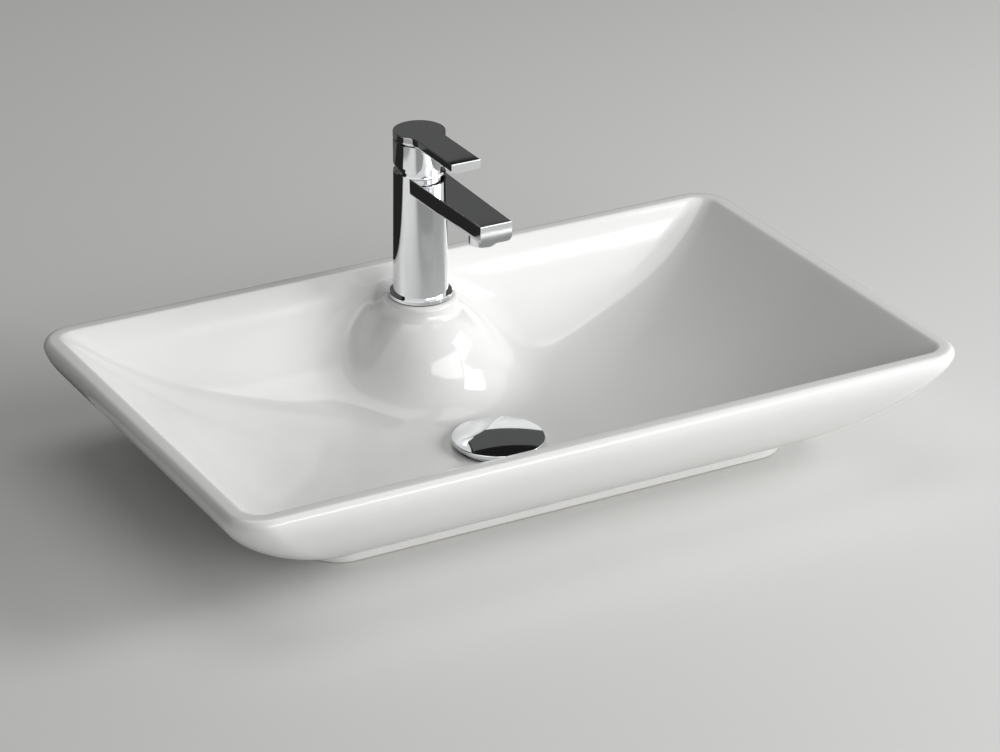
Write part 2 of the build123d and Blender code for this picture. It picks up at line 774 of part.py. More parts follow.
with BuildPart() as lever:
    with BuildSketch(Plane.XY.offset(cap_top - lever_thick)):
        with Locations((0, tap_y)):
            Circle(cap_r)
        with Locations((0, tap_y - lever_reach / 2)):
            Rectangle(lever_width, lever_reach)
        necks = [v for v in vertices() if abs(v.Y - tap_y) < cap_r and abs(v.X) > lever_width / 2 - fit]
        fillet([v for v in necks if v.Y < tap_y - fit], lever_neck_r)
    extrude(amount=lever_thick)
    tip = tap_y - lever_reach
    low = edges().group_by(Axis.Z)[0]
    fillet([e for e in low if e.center().Y < tap_y - cap_r - fit and abs(e.center().X) > fit], lever_under_round)
    fillet(edges().group_by(Axis.Z)[-1], lever_edge_round)
    with Locations(tap_axis):
        tube(cap_r, 0, cap_foot, cap_height - lever_thick)
        bore(cap_r - cap_wall, cap_foot, cap_height - cap_roof)
        tube(cap_boss_r, 0, cap_roof_under - cap_boss_length, cap_boss_length)
        with Locations((0, 0, cap_roof_under - cap_boss_length)):
            Box(
                spindle_square + 2 * fit,
                spindle_square + 2 * fit,
                cap_boss_length,
                align=(Align.CENTER, Align.CENTER, Align.MIN),
                mode=Mode.SUBTRACT,
            )
    with BuildSketch(Plane.XZ.offset(-tap_y)):
        with Locations((0, cap_foot + grub_height)):
            Circle(grub_r + fit)
    extrude(amount=-cap_boss_r - 1, mode=Mode.SUBTRACT)
    with BuildSketch(Plane.XZ.offset(-tap_y - cap_boss_r - 1)):
        with Locations((0, cap_foot + grub_height)):
            Circle(plug_r)
    extrude(amount=-cap_r, mode=Mode.SUBTRACT)
lever.part.label = "lever"
export_step(lever.part, "parts/lever.step")

with BuildPart() as grub_screw:
    with BuildSketch(Plane.XZ.offset(-tap_y - spindle_square / 2 - fit)):
        with Locations((0, cap_foot + grub_height)):
            Circle(grub_r)
    extrude(amount=-grub_length)
    with BuildSketch(Plane.XZ.offset(-tap_y - spindle_square / 2 - fit - grub_length)):
        with Locations((0, cap_foot + grub_height)):
            RegularPolygon(1.25, 6, major_radius=False)
    extrude(amount=2, mode=Mode.SUBTRACT)
grub_screw.part.label = "grub_screw"
export_step(grub_screw.part, "parts/grub_screw.step")

with BuildPart() as screw_plug:
    with BuildSketch(Plane.XZ.offset(-tap_y - cap_r + 0.3)):
        with Locations((0, cap_foot + grub_height)):
            Circle(plug_r - fit)
    extrude(amount=plug_thick)
screw_plug.part.label = "screw_plug"
export_step(screw_plug.part, "parts/screw_plug.step")

# Fixing of the tap: one stud, a rubber and a steel horseshoe and a nut
stud_top = column_foot + stud_in_body
stud_end = boss_under - stud_below
clamp_seal_under = boss_under - clamp_seal_thick
clamp_plate_under = clamp_seal_under - clamp_plate_thick


def horseshoe(radius, height, thick):
    """Flat clamp with a hole for the stud and a slot that clears the inlet tails."""
    with BuildSketch(Plane.XY.offset(height)) as shape:
        with Locations((0, tap_y)):
            Circle(radius)
            with Locations((0, clamp_slot_y - radius / 2)):
                Rectangle(2 * clamp_slot_r, radius, mode=Mode.SUBTRACT)
            with Locations((0, clamp_slot_y)):
                SlotCenterToCenter(2 * inlet_x, 2 * inlet_r + 1, mode=Mode.SUBTRACT)
            with Locations((0, stud_y)):
                Circle(stud_r + 0.2, mode=Mode.SUBTRACT)
    extrude(shape.sketch, amount=thick)


with BuildPart() as fixing_stud:
    with Locations(tap_axis):
        with Locations((0, stud_y)):
            tube(stud_r, 0, stud_end, stud_top - stud_end)
    chamfer(edges().group_by(Axis.Z)[0], 0.6)
fixing_stud.part.label = "fixing_stud"
export_step(fixing_stud.part, "parts/fixing_stud.step")

with BuildPart() as clamp_seal:
    horseshoe(clamp_r, clamp_seal_under, clamp_seal_thick)
clamp_seal.part.label = "clamp_seal"
export_step(clamp_seal.part, "parts/clamp_seal.step")

with BuildPart() as clamp_plate:
    horseshoe(clamp_r, clamp_plate_under, clamp_plate_thick)
clamp_plate.part.label = "clamp_plate"
export_step(clamp_plate.part, "parts/clamp_plate.step")

with BuildPart() as clamp_nut:
    with BuildSketch(Plane.XY.offset(clamp_plate_under - clamp_nut_height)):
        with Locations((0, tap_y + stud_y)):
            RegularPolygon(clamp_nut_flats / 2, 6, major_radius=False)
            Circle(stud_r + fit, mode=Mode.SUBTRACT)
    extrude(amount=clamp_nut_height)
clamp_nut.part.label = "clamp_nut"
export_step(clamp_nut.part, "parts/clamp_nut.step")
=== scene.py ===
"""Looks of the countertop basin: glazed body, chromed fittings and a plain pale studio."""

import json
import math

import bmesh
import bpy
import numpy as np
from bpy.props import FloatProperty, FloatVectorProperty, PointerProperty
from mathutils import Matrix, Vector


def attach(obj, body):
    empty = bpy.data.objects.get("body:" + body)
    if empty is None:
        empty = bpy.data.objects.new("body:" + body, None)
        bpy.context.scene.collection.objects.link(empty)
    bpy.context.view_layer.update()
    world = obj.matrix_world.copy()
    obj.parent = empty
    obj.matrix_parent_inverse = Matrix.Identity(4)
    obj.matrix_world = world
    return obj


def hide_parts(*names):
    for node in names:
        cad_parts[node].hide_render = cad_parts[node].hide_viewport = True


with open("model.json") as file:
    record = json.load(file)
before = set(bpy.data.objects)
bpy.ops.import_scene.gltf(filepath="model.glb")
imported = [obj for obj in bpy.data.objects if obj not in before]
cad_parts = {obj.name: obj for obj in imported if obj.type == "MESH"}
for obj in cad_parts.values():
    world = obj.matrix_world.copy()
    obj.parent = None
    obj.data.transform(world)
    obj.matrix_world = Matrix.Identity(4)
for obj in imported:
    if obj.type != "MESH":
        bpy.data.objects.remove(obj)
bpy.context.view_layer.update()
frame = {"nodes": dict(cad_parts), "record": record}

bl_info = {
    "name": "Countertop basin",
    "version": (1, 0, 0),
    "blender": (4, 5, 0),
    "location": "View3D > Sidebar > Basin",
    "description": "Builds the glazed basin, finishes its tap and waste, and sets up the studio",
    "category": "Add Mesh",
}


class BasinShape(bpy.types.PropertyGroup):
    """Sizes of the ceramic body."""

    length: FloatProperty(
        name="Length", description="Rim, left to right", default=0.6, unit="LENGTH"
    )
    width: FloatProperty(
        name="Width", description="Rim, front to back", default=0.37, unit="LENGTH"
    )
    height: FloatProperty(
        name="Height", description="Rim above the worktop", default=0.095, unit="LENGTH"
    )
    rim_flat: FloatProperty(
        name="Rim", description="Rim's edge to the bowl's edge", default=0.013, unit="LENGTH"
    )
    rim_corner: FloatProperty(
        name="Rim corner", description="Corner radius in plan", default=0.029, unit="LENGTH"
    )
    rim_round: FloatProperty(
        name="Rim rounding", description="Outer top edge", default=0.0055, unit="LENGTH"
    )
    bowl_depth: FloatProperty(
        name="Bowl depth", description="Rim to bowl floor", default=0.085, unit="LENGTH"
    )
    boss_back: FloatProperty(
        name="Boss place", description="Tap axis behind the waste", default=0.126, unit="LENGTH"
    )
    boss_radius: FloatProperty(
        name="Boss radius", description="Disc under the tap", default=0.029, unit="LENGTH"
    )
    boss_top: FloatProperty(
        name="Boss height", description="Disc above the worktop", default=0.085, unit="LENGTH"
    )
    blend: FloatProperty(
        name="Boss blend", description="How softly it joins the bowl", default=0.040, unit="LENGTH"
    )


class FinishColours(bpy.types.PropertyGroup):
    """Colours of the finishes."""

    glaze: FloatVectorProperty(
        name="Glaze", description="Glazed ceramic", subtype="COLOR", default=(0.80, 0.80, 0.79)
    )
    chrome: FloatVectorProperty(
        name="Chrome", description="Plated brass", subtype="COLOR", default=(0.80, 0.81, 0.82)
    )
    brass: FloatVectorProperty(
        name="Brass", description="Unplated brass", subtype="COLOR", default=(0.60, 0.42, 0.17)
    )
    rubber: FloatVectorProperty(
        name="Rubber", description="Seals", subtype="COLOR", default=(0.016, 0.016, 0.017)
    )
    steel: FloatVectorProperty(
        name="Steel", description="Fixings", subtype="COLOR", default=(0.46, 0.47, 0.48)
    )
    plastic: FloatVectorProperty(
        name="Plastic", description="Moulded pieces", subtype="COLOR", default=(0.56, 0.57, 0.58)
    )
    disc: FloatVectorProperty(
        name="Disc", description="Ceramic discs", subtype="COLOR", default=(0.62, 0.60, 0.55)
    )
    floor: FloatVectorProperty(
        name="Floor", description="Studio floor", subtype="COLOR", default=(0.72, 0.72, 0.71)
    )


class StudioSettings(bpy.types.PropertyGroup):
    """Camera and lamps."""

    azimuth: FloatProperty(
        name="Azimuth", description="Camera left of the front", default=0.5011, subtype="ANGLE"
    )
    elevation: FloatProperty(
        name="Elevation", description="Camera above the level", default=0.4393, subtype="ANGLE"
    )
    lens: FloatProperty(
        name="Lens", description="Focal length in millimetres", default=135.93
    )
    key: FloatProperty(
        name="Key lamp", description="Soft lamp on the right", default=44.0, subtype="POWER"
    )
    fill: FloatProperty(
        name="Front lamp", description="Long soft lamp in front", default=31.0, subtype="POWER"
    )
    top: FloatProperty(
        name="Top lamp", description="Large soft lamp above", default=9.0, subtype="POWER"
    )
    sky: FloatProperty(
        name="Surround", description="Strength of the surround's light", default=0.17
    )


# ---------------------------------------------------------------- meshes


def cubic(start, first, second, end, t):
    """Cubic Bezier value: the ends weighed by the cubes of what is left and of what is done."""
    s = 1 - t
    return start * s**3 + 3 * first * s * s * t + 3 * second * s * t * t + end * t**3


class Shell:
    """Collects grids of points and the quads between them, and makes one closed mesh of them."""

    merge_distance = 1e-7
    sharp_angle = math.radians(38.0)

    def __init__(self):
        self.points = []
        self.quads = []
        self.count = 0

    def add(self, points):
        """Store an array of points of any shape and return the array of their numbers."""
        points = np.asarray(points, float)
        flat = points.reshape(-1, 3)
        numbers = self.count + np.arange(len(flat)).reshape(points.shape[:-1])
        self.points.append(flat)
        self.count += len(flat)
        return numbers

    def skin(self, numbers, keep=None):
        """Quads between neighbouring rows of a grid of numbers, whose columns run right round.

        keep says which of them are made.
        """
        right = np.roll(numbers, -1, axis=1)
        cells = np.stack([numbers[:-1], numbers[1:], right[1:], right[:-1]], axis=-1)
        if keep is not None:
            cells = cells[keep]
        self.quads.append(cells.reshape(-1, 4))

    def mesh(self, name):
        """The mesh: points that coincide are merged, faces point outwards, sharp edges stay."""
        data = bpy.data.meshes.new(name)
        points, quads = np.concatenate(self.points), np.concatenate(self.quads)
        data.from_pydata(points.tolist(), [], quads.tolist())
        work = bmesh.new()
        work.from_mesh(data)
        bmesh.ops.remove_doubles(work, verts=work.verts, dist=self.merge_distance)
        bmesh.ops.dissolve_degenerate(work, edges=work.edges, dist=self.merge_distance)
        bmesh.ops.recalc_face_normals(work, faces=work.faces)
        work.to_mesh(data)
        open_edges = sum(1 for edge in work.edges if len(edge.link_faces) != 2)
        work.free()
        if open_edges:
            raise RuntimeError(f"{name} has {open_edges} open edges")
        data.polygons.foreach_set("use_smooth", np.ones(len(data.polygons), bool))
        data.set_sharp_from_angle(angle=self.sharp_angle)
        data.update()
        return data


def place(name, data, finish, body, node, slot):
    """Put a mesh into the scene as a piece that rides on a body and stands for a CAD node."""
    piece = bpy.data.objects.new(name, data)
    bpy.context.scene.collection.objects.link(piece)
    data.materials.append(finish)
    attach(piece, body)
    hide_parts(node)


# ---------------------------------------------------------------- ceramic body


def plan_directions(half_x, half_y, corner, long_count, short_count, arc_count):
    """Directions from the waste axis round a rounded rectangle, as shares of its half sizes.

    A side's points close up towards the corners by a power of 1.6, an arc's are evenly turned.
    Also returns the number of the direction that points straight back.
    """
    up = np.arange(short_count) / short_count
    side_y = (half_y - corner) * (1 - (1 - up) ** 1.6)
    side = np.stack([np.full(short_count, half_x), side_y], 1)
    turn = np.linspace(0, math.pi / 2, arc_count + 1)[:-1]
    arc_x = half_x - corner + corner * np.cos(turn)
    arc_y = half_y - corner + corner * np.sin(turn)
    along = np.arange(long_count) / long_count
    back_x = (half_x - corner) * (1 - along**1.6)
    back = np.stack([back_x, np.full(long_count, half_y)], 1)
    first = np.concatenate([side, np.stack([arc_x, arc_y], 1), back]) / [half_x, half_y]
    second = np.concatenate([[[0.0, 1.0]], first[:0:-1] * [-1, 1]])
    fourth = np.concatenate([[[0.0, -1.0]], first[:0:-1] * [1, -1]])
    return np.concatenate([first, second, -first, fourth]), len(first)


def plan_outline(directions, half_x, front, back, corner):
    """Where the directions meet a rounded rectangle: the side that comes first, or the arc.

    On an arc, the distance solves the quadratic of a line through the corner's circle.
    """
    share_x, share_y = np.abs(directions[:, 0]), np.abs(directions[:, 1])
    reach_y = np.where(directions[:, 1] < 0, front, back)
    x, y = share_x * half_x, share_y * reach_y
    scale = 1 / np.maximum(share_x, share_y) + 0 * x
    corner_x, corner_y = half_x - corner, reach_y - corner
    in_corner = (x * scale > corner_x) & (y * scale > corner_y)
    square = x * x + y * y
    middle = x * corner_x + y * corner_y
    rest = corner_x**2 + corner_y**2 - corner**2
    on_arc = (middle + np.sqrt(np.maximum(middle**2 - square * rest, 0))) / square
    scale = np.where(in_corner, on_arc, scale)
    return np.sign(directions[:, 0]) * x * scale, np.sign(directions[:, 1]) * y * scale


class CeramicBody:
    """The body's surface as functions: level outlines of bowl and wall, and the bowl's height."""

    # outer wall, cubics from the rim to the foot: how far it draws in, and how far it drops
    wall_side = (0.0, 0.0, 0.056, 0.097)
    wall_front = (0.0, 0.0, 0.048, 0.0815)
    wall_back = (0.0, 0.0, 0.013, 0.022)
    wall_drop = (0.006, 0.024, 0.075, 0.086)
    wall_corner_gain = 0.008

    # bowl, the first guides of the same kind of cubics, from the rim to the floor
    bowl_side = (0.0, 0.033, 0.077)
    bowl_front = (0.0, 0.0175, 0.020)
    bowl_drop = (0.0, 0.0225)
    bowl_corner = 0.015
    floor_radius = 0.036
    lip = 0.0016
    lip_end = 0.022

    # thickness under the bowl; foot: half length, front, back and corner radius, and its wall
    skin = 0.008
    foot = (0.201, 0.1025, 0.162, 0.030)
    foot_wall = 0.011

    # bell under the tap, joined cubics: how far out past the disc, and how far below its top
    bell_out = (
        (0.0, 0.0, 0.0005, 0.0030),
        (0.0030, 0.0095, 0.0195, 0.0235),
        (0.0235, 0.0261, 0.030, 0.033),
    )
    bell_down = (
        (0.0035, 0.006, 0.009, 0.012),
        (0.012, 0.0160, 0.0250, 0.040),
        (0.040, 0.0498, 0.067, 0.085),
    )
    disc_round = 0.0035
    blend_reach = 0.012

    # radius and drop of each circle: seat, hole and pad of the waste, below the bowl's floor
    waste_circles = (
        (0.0342, 0.0),
        (0.0336, 0.0001),
        (0.0332, 0.0004),
        (0.033, 0.0009),
        (0.033, 0.002),
        (0.0236, 0.002),
        (0.0232, 0.0022),
        (0.023, 0.0026),
        (0.023, 0.0084),
        (0.0232, 0.0088),
        (0.0236, 0.009),
        (0.0454, 0.009),
        (0.0458, 0.0088),
        (0.046, 0.0085),
    )
    pad_radius = 0.046

    # the same for the tap's hole, the slab's underside and the hollow, below the boss's top
    tap_circles = (
        (0.0176, 0.0),
        (0.0172, 0.0002),
        (0.017, 0.0006),
        (0.017, 0.0134),
        (0.0172, 0.0138),
        (0.0176, 0.014),
        (0.0212, 0.014),
        (0.022, 0.0148),
    )
    hollow_radius = 0.022

    def __init__(self, shape):
        self.shape = shape
        self.top_x = shape.length / 2 - shape.rim_flat
        self.top_y = shape.width / 2 - shape.rim_flat

    def bowl_level(self, t, grow=0.0):
        """Half sizes, corner radius and height of the bowl's outline at t: rim 0, floor 1.

        grow moves the surface out and down. The corner's radius grows from that of the rim to
        the floor's circle, by a power of the share of the width that the outline has drawn in.
        """
        half_x = self.top_x - cubic(*self.bowl_side, self.top_x - self.floor_radius, t)
        half_y = self.top_y - cubic(*self.bowl_front, self.top_y - self.floor_radius, t)
        share = np.clip((self.top_y - half_y) / (self.top_y - self.floor_radius), 0, 1)
        least = self.bowl_corner / self.top_y
        corner = (least + (1 - least) * share**1.27) * half_y
        corner = np.minimum(corner, np.minimum(half_x, half_y))
        depth = self.shape.bowl_depth
        height = self.shape.height - cubic(*self.bowl_drop, depth, depth, t) - grow
        return half_x + grow, half_y + grow, corner + grow, height

    def wall_level(self, t):
        """Half length, front, back, corner radius and height of the wall at t: rim 0, foot 1."""
        half_x = self.shape.length / 2 - cubic(*self.wall_side, t)
        front = self.shape.width / 2 - cubic(*self.wall_front, t)
        back = self.shape.width / 2 - cubic(*self.wall_back, t)
        corner = self.shape.rim_corner + self.wall_corner_gain * t**0.6
        return half_x, front, back, corner, self.shape.height - cubic(*self.wall_drop, t)

    def bowl_height(self, x, y, grow=0.0):
        """Height of the plain bowl over points: that of the outline through each, by halving."""
        low, high = np.zeros_like(x), np.ones_like(x)
        for _ in range(30):
            t = (low + high) / 2
            half_x, half_y, corner, _height = self.bowl_level(t, grow)
            over_x, over_y = np.abs(x) - half_x + corner, np.abs(y) - half_y + corner
            outside = np.hypot(np.maximum(over_x, 0), np.maximum(over_y, 0))
            inside = outside + np.minimum(np.maximum(over_x, over_y), 0) < corner
            low, high = np.where(inside, t, low), np.where(inside, high, t)
        return self.bowl_level((low + high) / 2, grow)[3]

    def bell_width(self, drop):
        """Radius of the bell under the tap at a drop below its top: neck, swell and skirt."""
        t = np.linspace(0, 1, 160) ** 1.5
        radius = self.shape.boss_radius
        out = [cubic(*(radius + guide for guide in guides), t) for guides in self.bell_out]
        down = [cubic(*guides, t) for guides in self.bell_down]
        return np.interp(drop, np.concatenate(down), np.concatenate(out))

    def inside_height(self, x, y, bowl):
        """Height of bowl and bell together over points, by halving.

        A height is inside the ceramic if it is under the bowl or within the bell. It is also
        inside where it is so near to both that the hollow between them is filled, by a quarter
        of the square of what is left of the blend, which fades out towards the disc.
        """
        radius = np.hypot(x, y - self.shape.boss_back)
        share = np.clip((radius - self.shape.boss_radius) / self.blend_reach, 0, 1)
        blend = self.shape.blend * (0.001 + share**2 * (3 - 2 * share))
        low, high = bowl + 0 * x, np.maximum(bowl, self.shape.boss_top)
        for _ in range(26):
            middle = (low + high) / 2
            over = middle - bowl
            beside = radius - self.bell_width(self.shape.boss_top - middle)
            near = np.maximum(blend - np.abs(over - beside), 0) / blend
            inside = np.minimum(over, beside) - near**2 * blend / 4 < -1e-7
            low, high = np.where(inside, middle, low), np.where(inside, high, middle)
        return low


def quarter(count):
    """Angles of a quarter turn, without its start."""
    return np.linspace(0, math.pi / 2, count + 1)[1:]


def ceramic_mesh(shape):
    """Closed skin of the body, as rows of one grid and two round patches.

    The rows run from the rim down the bowl, through the waste hole, out under the bowl, round
    the foot and up the outer wall. The patches carry the boss and the hollow below it.
    """
    body = CeramicBody(shape)
    directions, back_middle = plan_directions(body.top_x, body.top_y, body.bowl_corner, 64, 36, 12)
    rows = []

    def level(half_x, front, back, corner, height):
        """A level row."""
        x, y = plan_outline(directions, half_x, front, back, corner)
        rows.append(np.stack([x, y, height + 0 * x], 1))

    def inset(outline, amount, height):
        """A level row, drawn in from an outline by an amount."""
        half_x, front, back, corner = outline
        level(half_x - amount, front - amount, back - amount, corner - amount, height)

    # inner edge of the rim: a quadratic from the flat, past the sharp corner, to the bowl
    edge = (body.top_x, body.top_y, body.top_y, body.bowl_corner)
    start = plan_outline(directions, *(size + body.lip for size in edge))
    middle = plan_outline(directions, *edge)
    half_x, half_y, corner, height = body.bowl_level(body.lip_end)
    finish = plan_outline(directions, half_x, half_y, half_y, corner)
    for s in np.linspace(0, 1, 6)[:-1]:
        weights = ((1 - s) ** 2, 2 * s * (1 - s), s * s)
        x, y = (sum(w * p[k] for w, p in zip(weights, (start, middle, finish))) for k in (0, 1))
        z = shape.height * (weights[0] + weights[1]) + height * weights[2]
        rows.append(np.stack([x, y, z + 0 * x], 1))

    # bowl: rows that the boss's patch interrupts, and closer ones down to the floor
    bowl_top = len(rows)
    patched = np.linspace(body.lip_end, 0.82, 41)
    below = np.linspace(0.82, 1, 14)[1:]
    for t in np.concatenate([patched, below]):
        half_x, half_y, corner, height = body.bowl_level(t)
        x, y = plan_outline(directions, half_x, half_y, half_y, corner)
        rows.append(np.stack([x, y, body.inside_height(x, y, height + 0 * x)], 1))
    bowl_low = bowl_top + len(patched) - 1

    # waste
    floor = shape.height - shape.bowl_depth
    for radius, drop in body.waste_circles:
        level(radius, radius, radius, radius, floor - drop)

    # underside of the bowl, from the pad out to the inside of the foot
    inner_foot = np.array(body.foot) - body.foot_wall
    pad = np.full(4, body.pad_radius)
    by_pad = np.linspace(1, 0.53, 14)[:-1]
    patched = np.linspace(0.53, 0, 41)
    under_top = len(rows) + len(by_pad)
    for share in np.concatenate([by_pad, patched]):
        x, y = plan_outline(directions, *(pad * share + inner_foot * (1 - share)))
        rows.append(np.stack([x, y, body.bowl_height(x, y, body.skin)], 1))
    under_low = len(rows) - 1

    # foot: inner face, inner edge, underside, rounded outer edge, outer face
    inner_edge = 0.001
    outer_edge = 0.0015
    plan, top = rows[-1][:, :2], rows[-1][:, 2]
    for share in (0.66, 0.33):
        rows.append(np.stack([*plan.T, inner_edge + (top - inner_edge) * share], 1))
    inset(inner_foot, 0, inner_edge)
    inset(inner_foot, -0.0003, 0.0003)
    inset(inner_foot, -inner_edge, 0)
    inset(body.foot, outer_edge, 0)
    for a in quarter(4):
        inset(body.foot, outer_edge * (1 - math.sin(a)), outer_edge * (1 - math.cos(a)))
    inset(body.foot, 0, 0.005)
    inset(body.foot, 0, 0.0084)
    inset(body.foot, -0.0002, 0.0088)

    # outer wall, from the small step over the foot up to the rim, and the rim's outer edge
    step = 0.0003
    for t in np.linspace(1, 0, 34):
        half_x, front, back, corner, height = body.wall_level(t)
        level(half_x, front, back, corner, height + (step if t == 1 else 0))
    rim = (shape.length / 2, shape.width / 2, shape.width / 2, shape.rim_corner)
    rounding = shape.rim_round
    for a in quarter(8):
        inset(rim, rounding * (1 - math.cos(a)), shape.height - rounding * (1 - math.sin(a)))

    # skin of the rows, without the two blocks that the patches fill; the last row joins the first
    shell = Shell()
    grid = shell.add(np.stack(rows))
    half_wide = 14
    columns = (back_middle + np.arange(-half_wide, half_wide + 1)) % len(directions)
    keep = np.ones((len(rows) - 1, len(directions)), bool)
    keep[bowl_top:bowl_low, columns[0] : columns[-1]] = False
    keep[under_top:under_low, columns[0] : columns[-1]] = False
    shell.skin(grid, keep)
    shell.skin(np.stack([grid[-1], grid[0]]))

    def patch(first_row, last_row, from_below, radius, height_at, power):
        """Rings of quads between the edge of a block of the grid and a circle round the tap axis.

        A point runs straight from the circle to the edge, by a power of the ring's share, while
        its bearing turns from an even one to that of the edge's point.
        """
        block = grid[first_row : last_row + 1][:, columns]
        if from_below:
            block = block[::-1]
        loop = np.concatenate([block[0, :-1], block[:-1, -1], block[-1, :0:-1], block[:0:-1, 0]])
        away = np.concatenate(shell.points)[loop][:, :2] - [0, shape.boss_back]
        reach = np.hypot(*away.T)
        bearing = np.unwrap(np.arctan2(away[:, 1], away[:, 0]))
        turns = 2 * math.pi * np.arange(len(loop)) / len(loop)
        even = bearing[0] + np.sign(bearing[-1] - bearing[0]) * turns
        even += np.mean(bearing - even)
        rings = []
        for share in np.linspace(0, 1, 27)[:-1]:
            out = radius + (reach - radius) * share**power
            angle = even + (bearing - even) * share
            x, y = out * np.cos(angle), shape.boss_back + out * np.sin(angle)
            rings.append(np.stack([x, y, height_at(x, y)], 1))
        ring = np.concatenate([shell.add(np.stack(rings)), loop[None]])
        shell.skin(ring)
        return ring[0], even

    def top_height(x, y):
        """Height of the visible side."""
        return body.inside_height(x, y, body.bowl_height(x, y))

    def under_height(x, y):
        """Height of the underside."""
        return body.bowl_height(x, y, body.skin)

    top_ring, angles = patch(bowl_top, bowl_low, False, shape.boss_radius, top_height, 2.2)
    low_ring, low_angles = patch(
        under_top, under_low, True, body.hollow_radius, under_height, 1.0
    )
    # the lower ring starts at the angle nearest to the upper ring's start
    shift = np.argmin(np.abs(np.angle(np.exp(1j * (low_angles - angles[0])))))
    low_ring = np.roll(low_ring, -shift)

    # disc's rounded edge, its top, the tap hole, the slab's underside and the hollow
    rounding = body.disc_round
    radius, top = shape.boss_radius, shape.boss_top
    profile = [
        (radius - rounding + rounding * math.cos(a), top - rounding + rounding * math.sin(a))
        for a in quarter(7)
    ]
    profile += [(radius, top - drop) for radius, drop in body.tap_circles]
    profile = np.array(profile)[:, :, None]
    x = profile[:, 0] * np.cos(angles)
    y = shape.boss_back + profile[:, 0] * np.sin(angles)
    tube = shell.add(np.stack([x, y, profile[:, 1] + 0 * x], -1))
    shell.skin(np.concatenate([top_ring[None], tube, low_ring[None]]))
    return shell.mesh("ceramic_body")


# ---------------------------------------------------------------- finishes


class Value:
    """A socket in an expression: arithmetic with numbers or other sockets adds Math nodes."""

    def __init__(self, graph, output):
        self.graph = graph
        self.output = output

    def math(self, operation, first, second, clamp=False):
        settings = {"operation": operation, "use_clamp": clamp}
        return self.graph.node("ShaderNodeMath", settings, {0: first, 1: second})

    def __add__(self, other):
        return self.math("ADD", self, other)

    def __radd__(self, other):
        return self.math("ADD", other, self)

    def __sub__(self, other):
        return self.math("SUBTRACT", self, other)

    def __rsub__(self, other):
        return self.math("SUBTRACT", other, self)

    def __mul__(self, other):
        return self.math("MULTIPLY", self, other)

    def __rmul__(self, other):
        return self.math("MULTIPLY", other, self)

    def larger(self, other):
        """The larger of two values."""
        return self.math("MAXIMUM", self, other)

    def above(self, edge, width):
        """0 below the edge, 1 above it, with a ramp of the given width between."""
        return self.math("MULTIPLY", self - (edge - width / 2), 1 / width, clamp=True)

    def part(self, name):
        """One axis of a vector."""
        return self.graph.node("ShaderNodeSeparateXYZ", {}, {0: self}, "XYZ".index(name))


class Graph:
    """Nodes of a material or of the surround, under construction."""

    def __init__(self, tree):
        self.tree = tree
        self.tree.nodes.clear()

    def node(self, kind, settings, inputs, output=0):
        """Adds a node: its settings, then numbers or links for its sockets; returns an output."""
        made = self.tree.nodes.new(kind)
        for name, value in settings.items():
            setattr(made, name, value)
        for name, value in inputs.items():
            if isinstance(value, Value):
                self.tree.links.new(value.output, made.inputs[name])
            else:
                made.inputs[name].default_value = value
        return Value(self, made.outputs[output] if made.outputs else None)


class Finish(Graph):
    """A material under construction."""

    def __init__(self, name):
        self.material = bpy.data.materials.new(name)
        self.material.use_nodes = True
        super().__init__(self.material.node_tree)

    def place(self):
        """The point on the surface, in metres, in the shared frame."""
        return self.node("ShaderNodeTexCoord", {}, {}, "Object")

    def noise(self, scale, detail=2.0, rough=0.5, stretch=(1, 1, 1)):
        """Cloudy pattern, scale in patches to the metre; stretch packs it closer along an axis."""
        place = self.node("ShaderNodeMapping", {}, {"Vector": self.place(), "Scale": stretch})
        sockets = {"Vector": place, "Scale": scale, "Detail": detail, "Roughness": rough}
        return self.node("ShaderNodeTexNoise", {}, sockets)

    def specks(self, scale):
        """Distance to the nearest of scattered points, scale of them to the metre."""
        sockets = {"Vector": self.place(), "Scale": scale}
        return self.node("ShaderNodeTexVoronoi", {}, sockets, "Distance")

    def blend(self, share, first, second):
        """Colour between first, at share 0, and second, at share 1."""
        # a Mix node's colour sockets are inputs 6 and 7 and output 2
        sockets = {0: share, 6: self.colour(first), 7: self.colour(second)}
        return self.node("ShaderNodeMix", {"data_type": "RGBA"}, sockets, 2)

    @staticmethod
    def colour(value):
        """A socket as it is, or a colour with its alpha."""
        return value if isinstance(value, Value) else (*value, 1)

    def bump(self, height, depth):
        """Normal raised by a height from 0 to 1, times a depth in metres."""
        return self.node("ShaderNodeBump", {}, {"Distance": depth, "Height": height})

    def glow(self, tone):
        """Plain grey emission, and the finished material."""
        emission = self.node("ShaderNodeEmission", {}, {"Color": (tone, tone, tone, 1)})
        self.node("ShaderNodeOutputMaterial", {}, {"Surface": emission})
        return self.material

    def shade(self, **sockets):
        """Principled shader with the sockets given, underscores for spaces; the material."""
        inputs = {name.replace("_", " "): value for name, value in sockets.items()}
        inputs["Base Color"] = self.colour(inputs["Base Color"])
        surface = self.node("ShaderNodeBsdfPrincipled", {}, inputs)
        self.node("ShaderNodeOutputMaterial", {}, {"Surface": surface})
        return self.material


def tint(colour, factor):
    """A colour made lighter or darker."""
    return tuple(min(part * factor, 1.0) for part in colour)


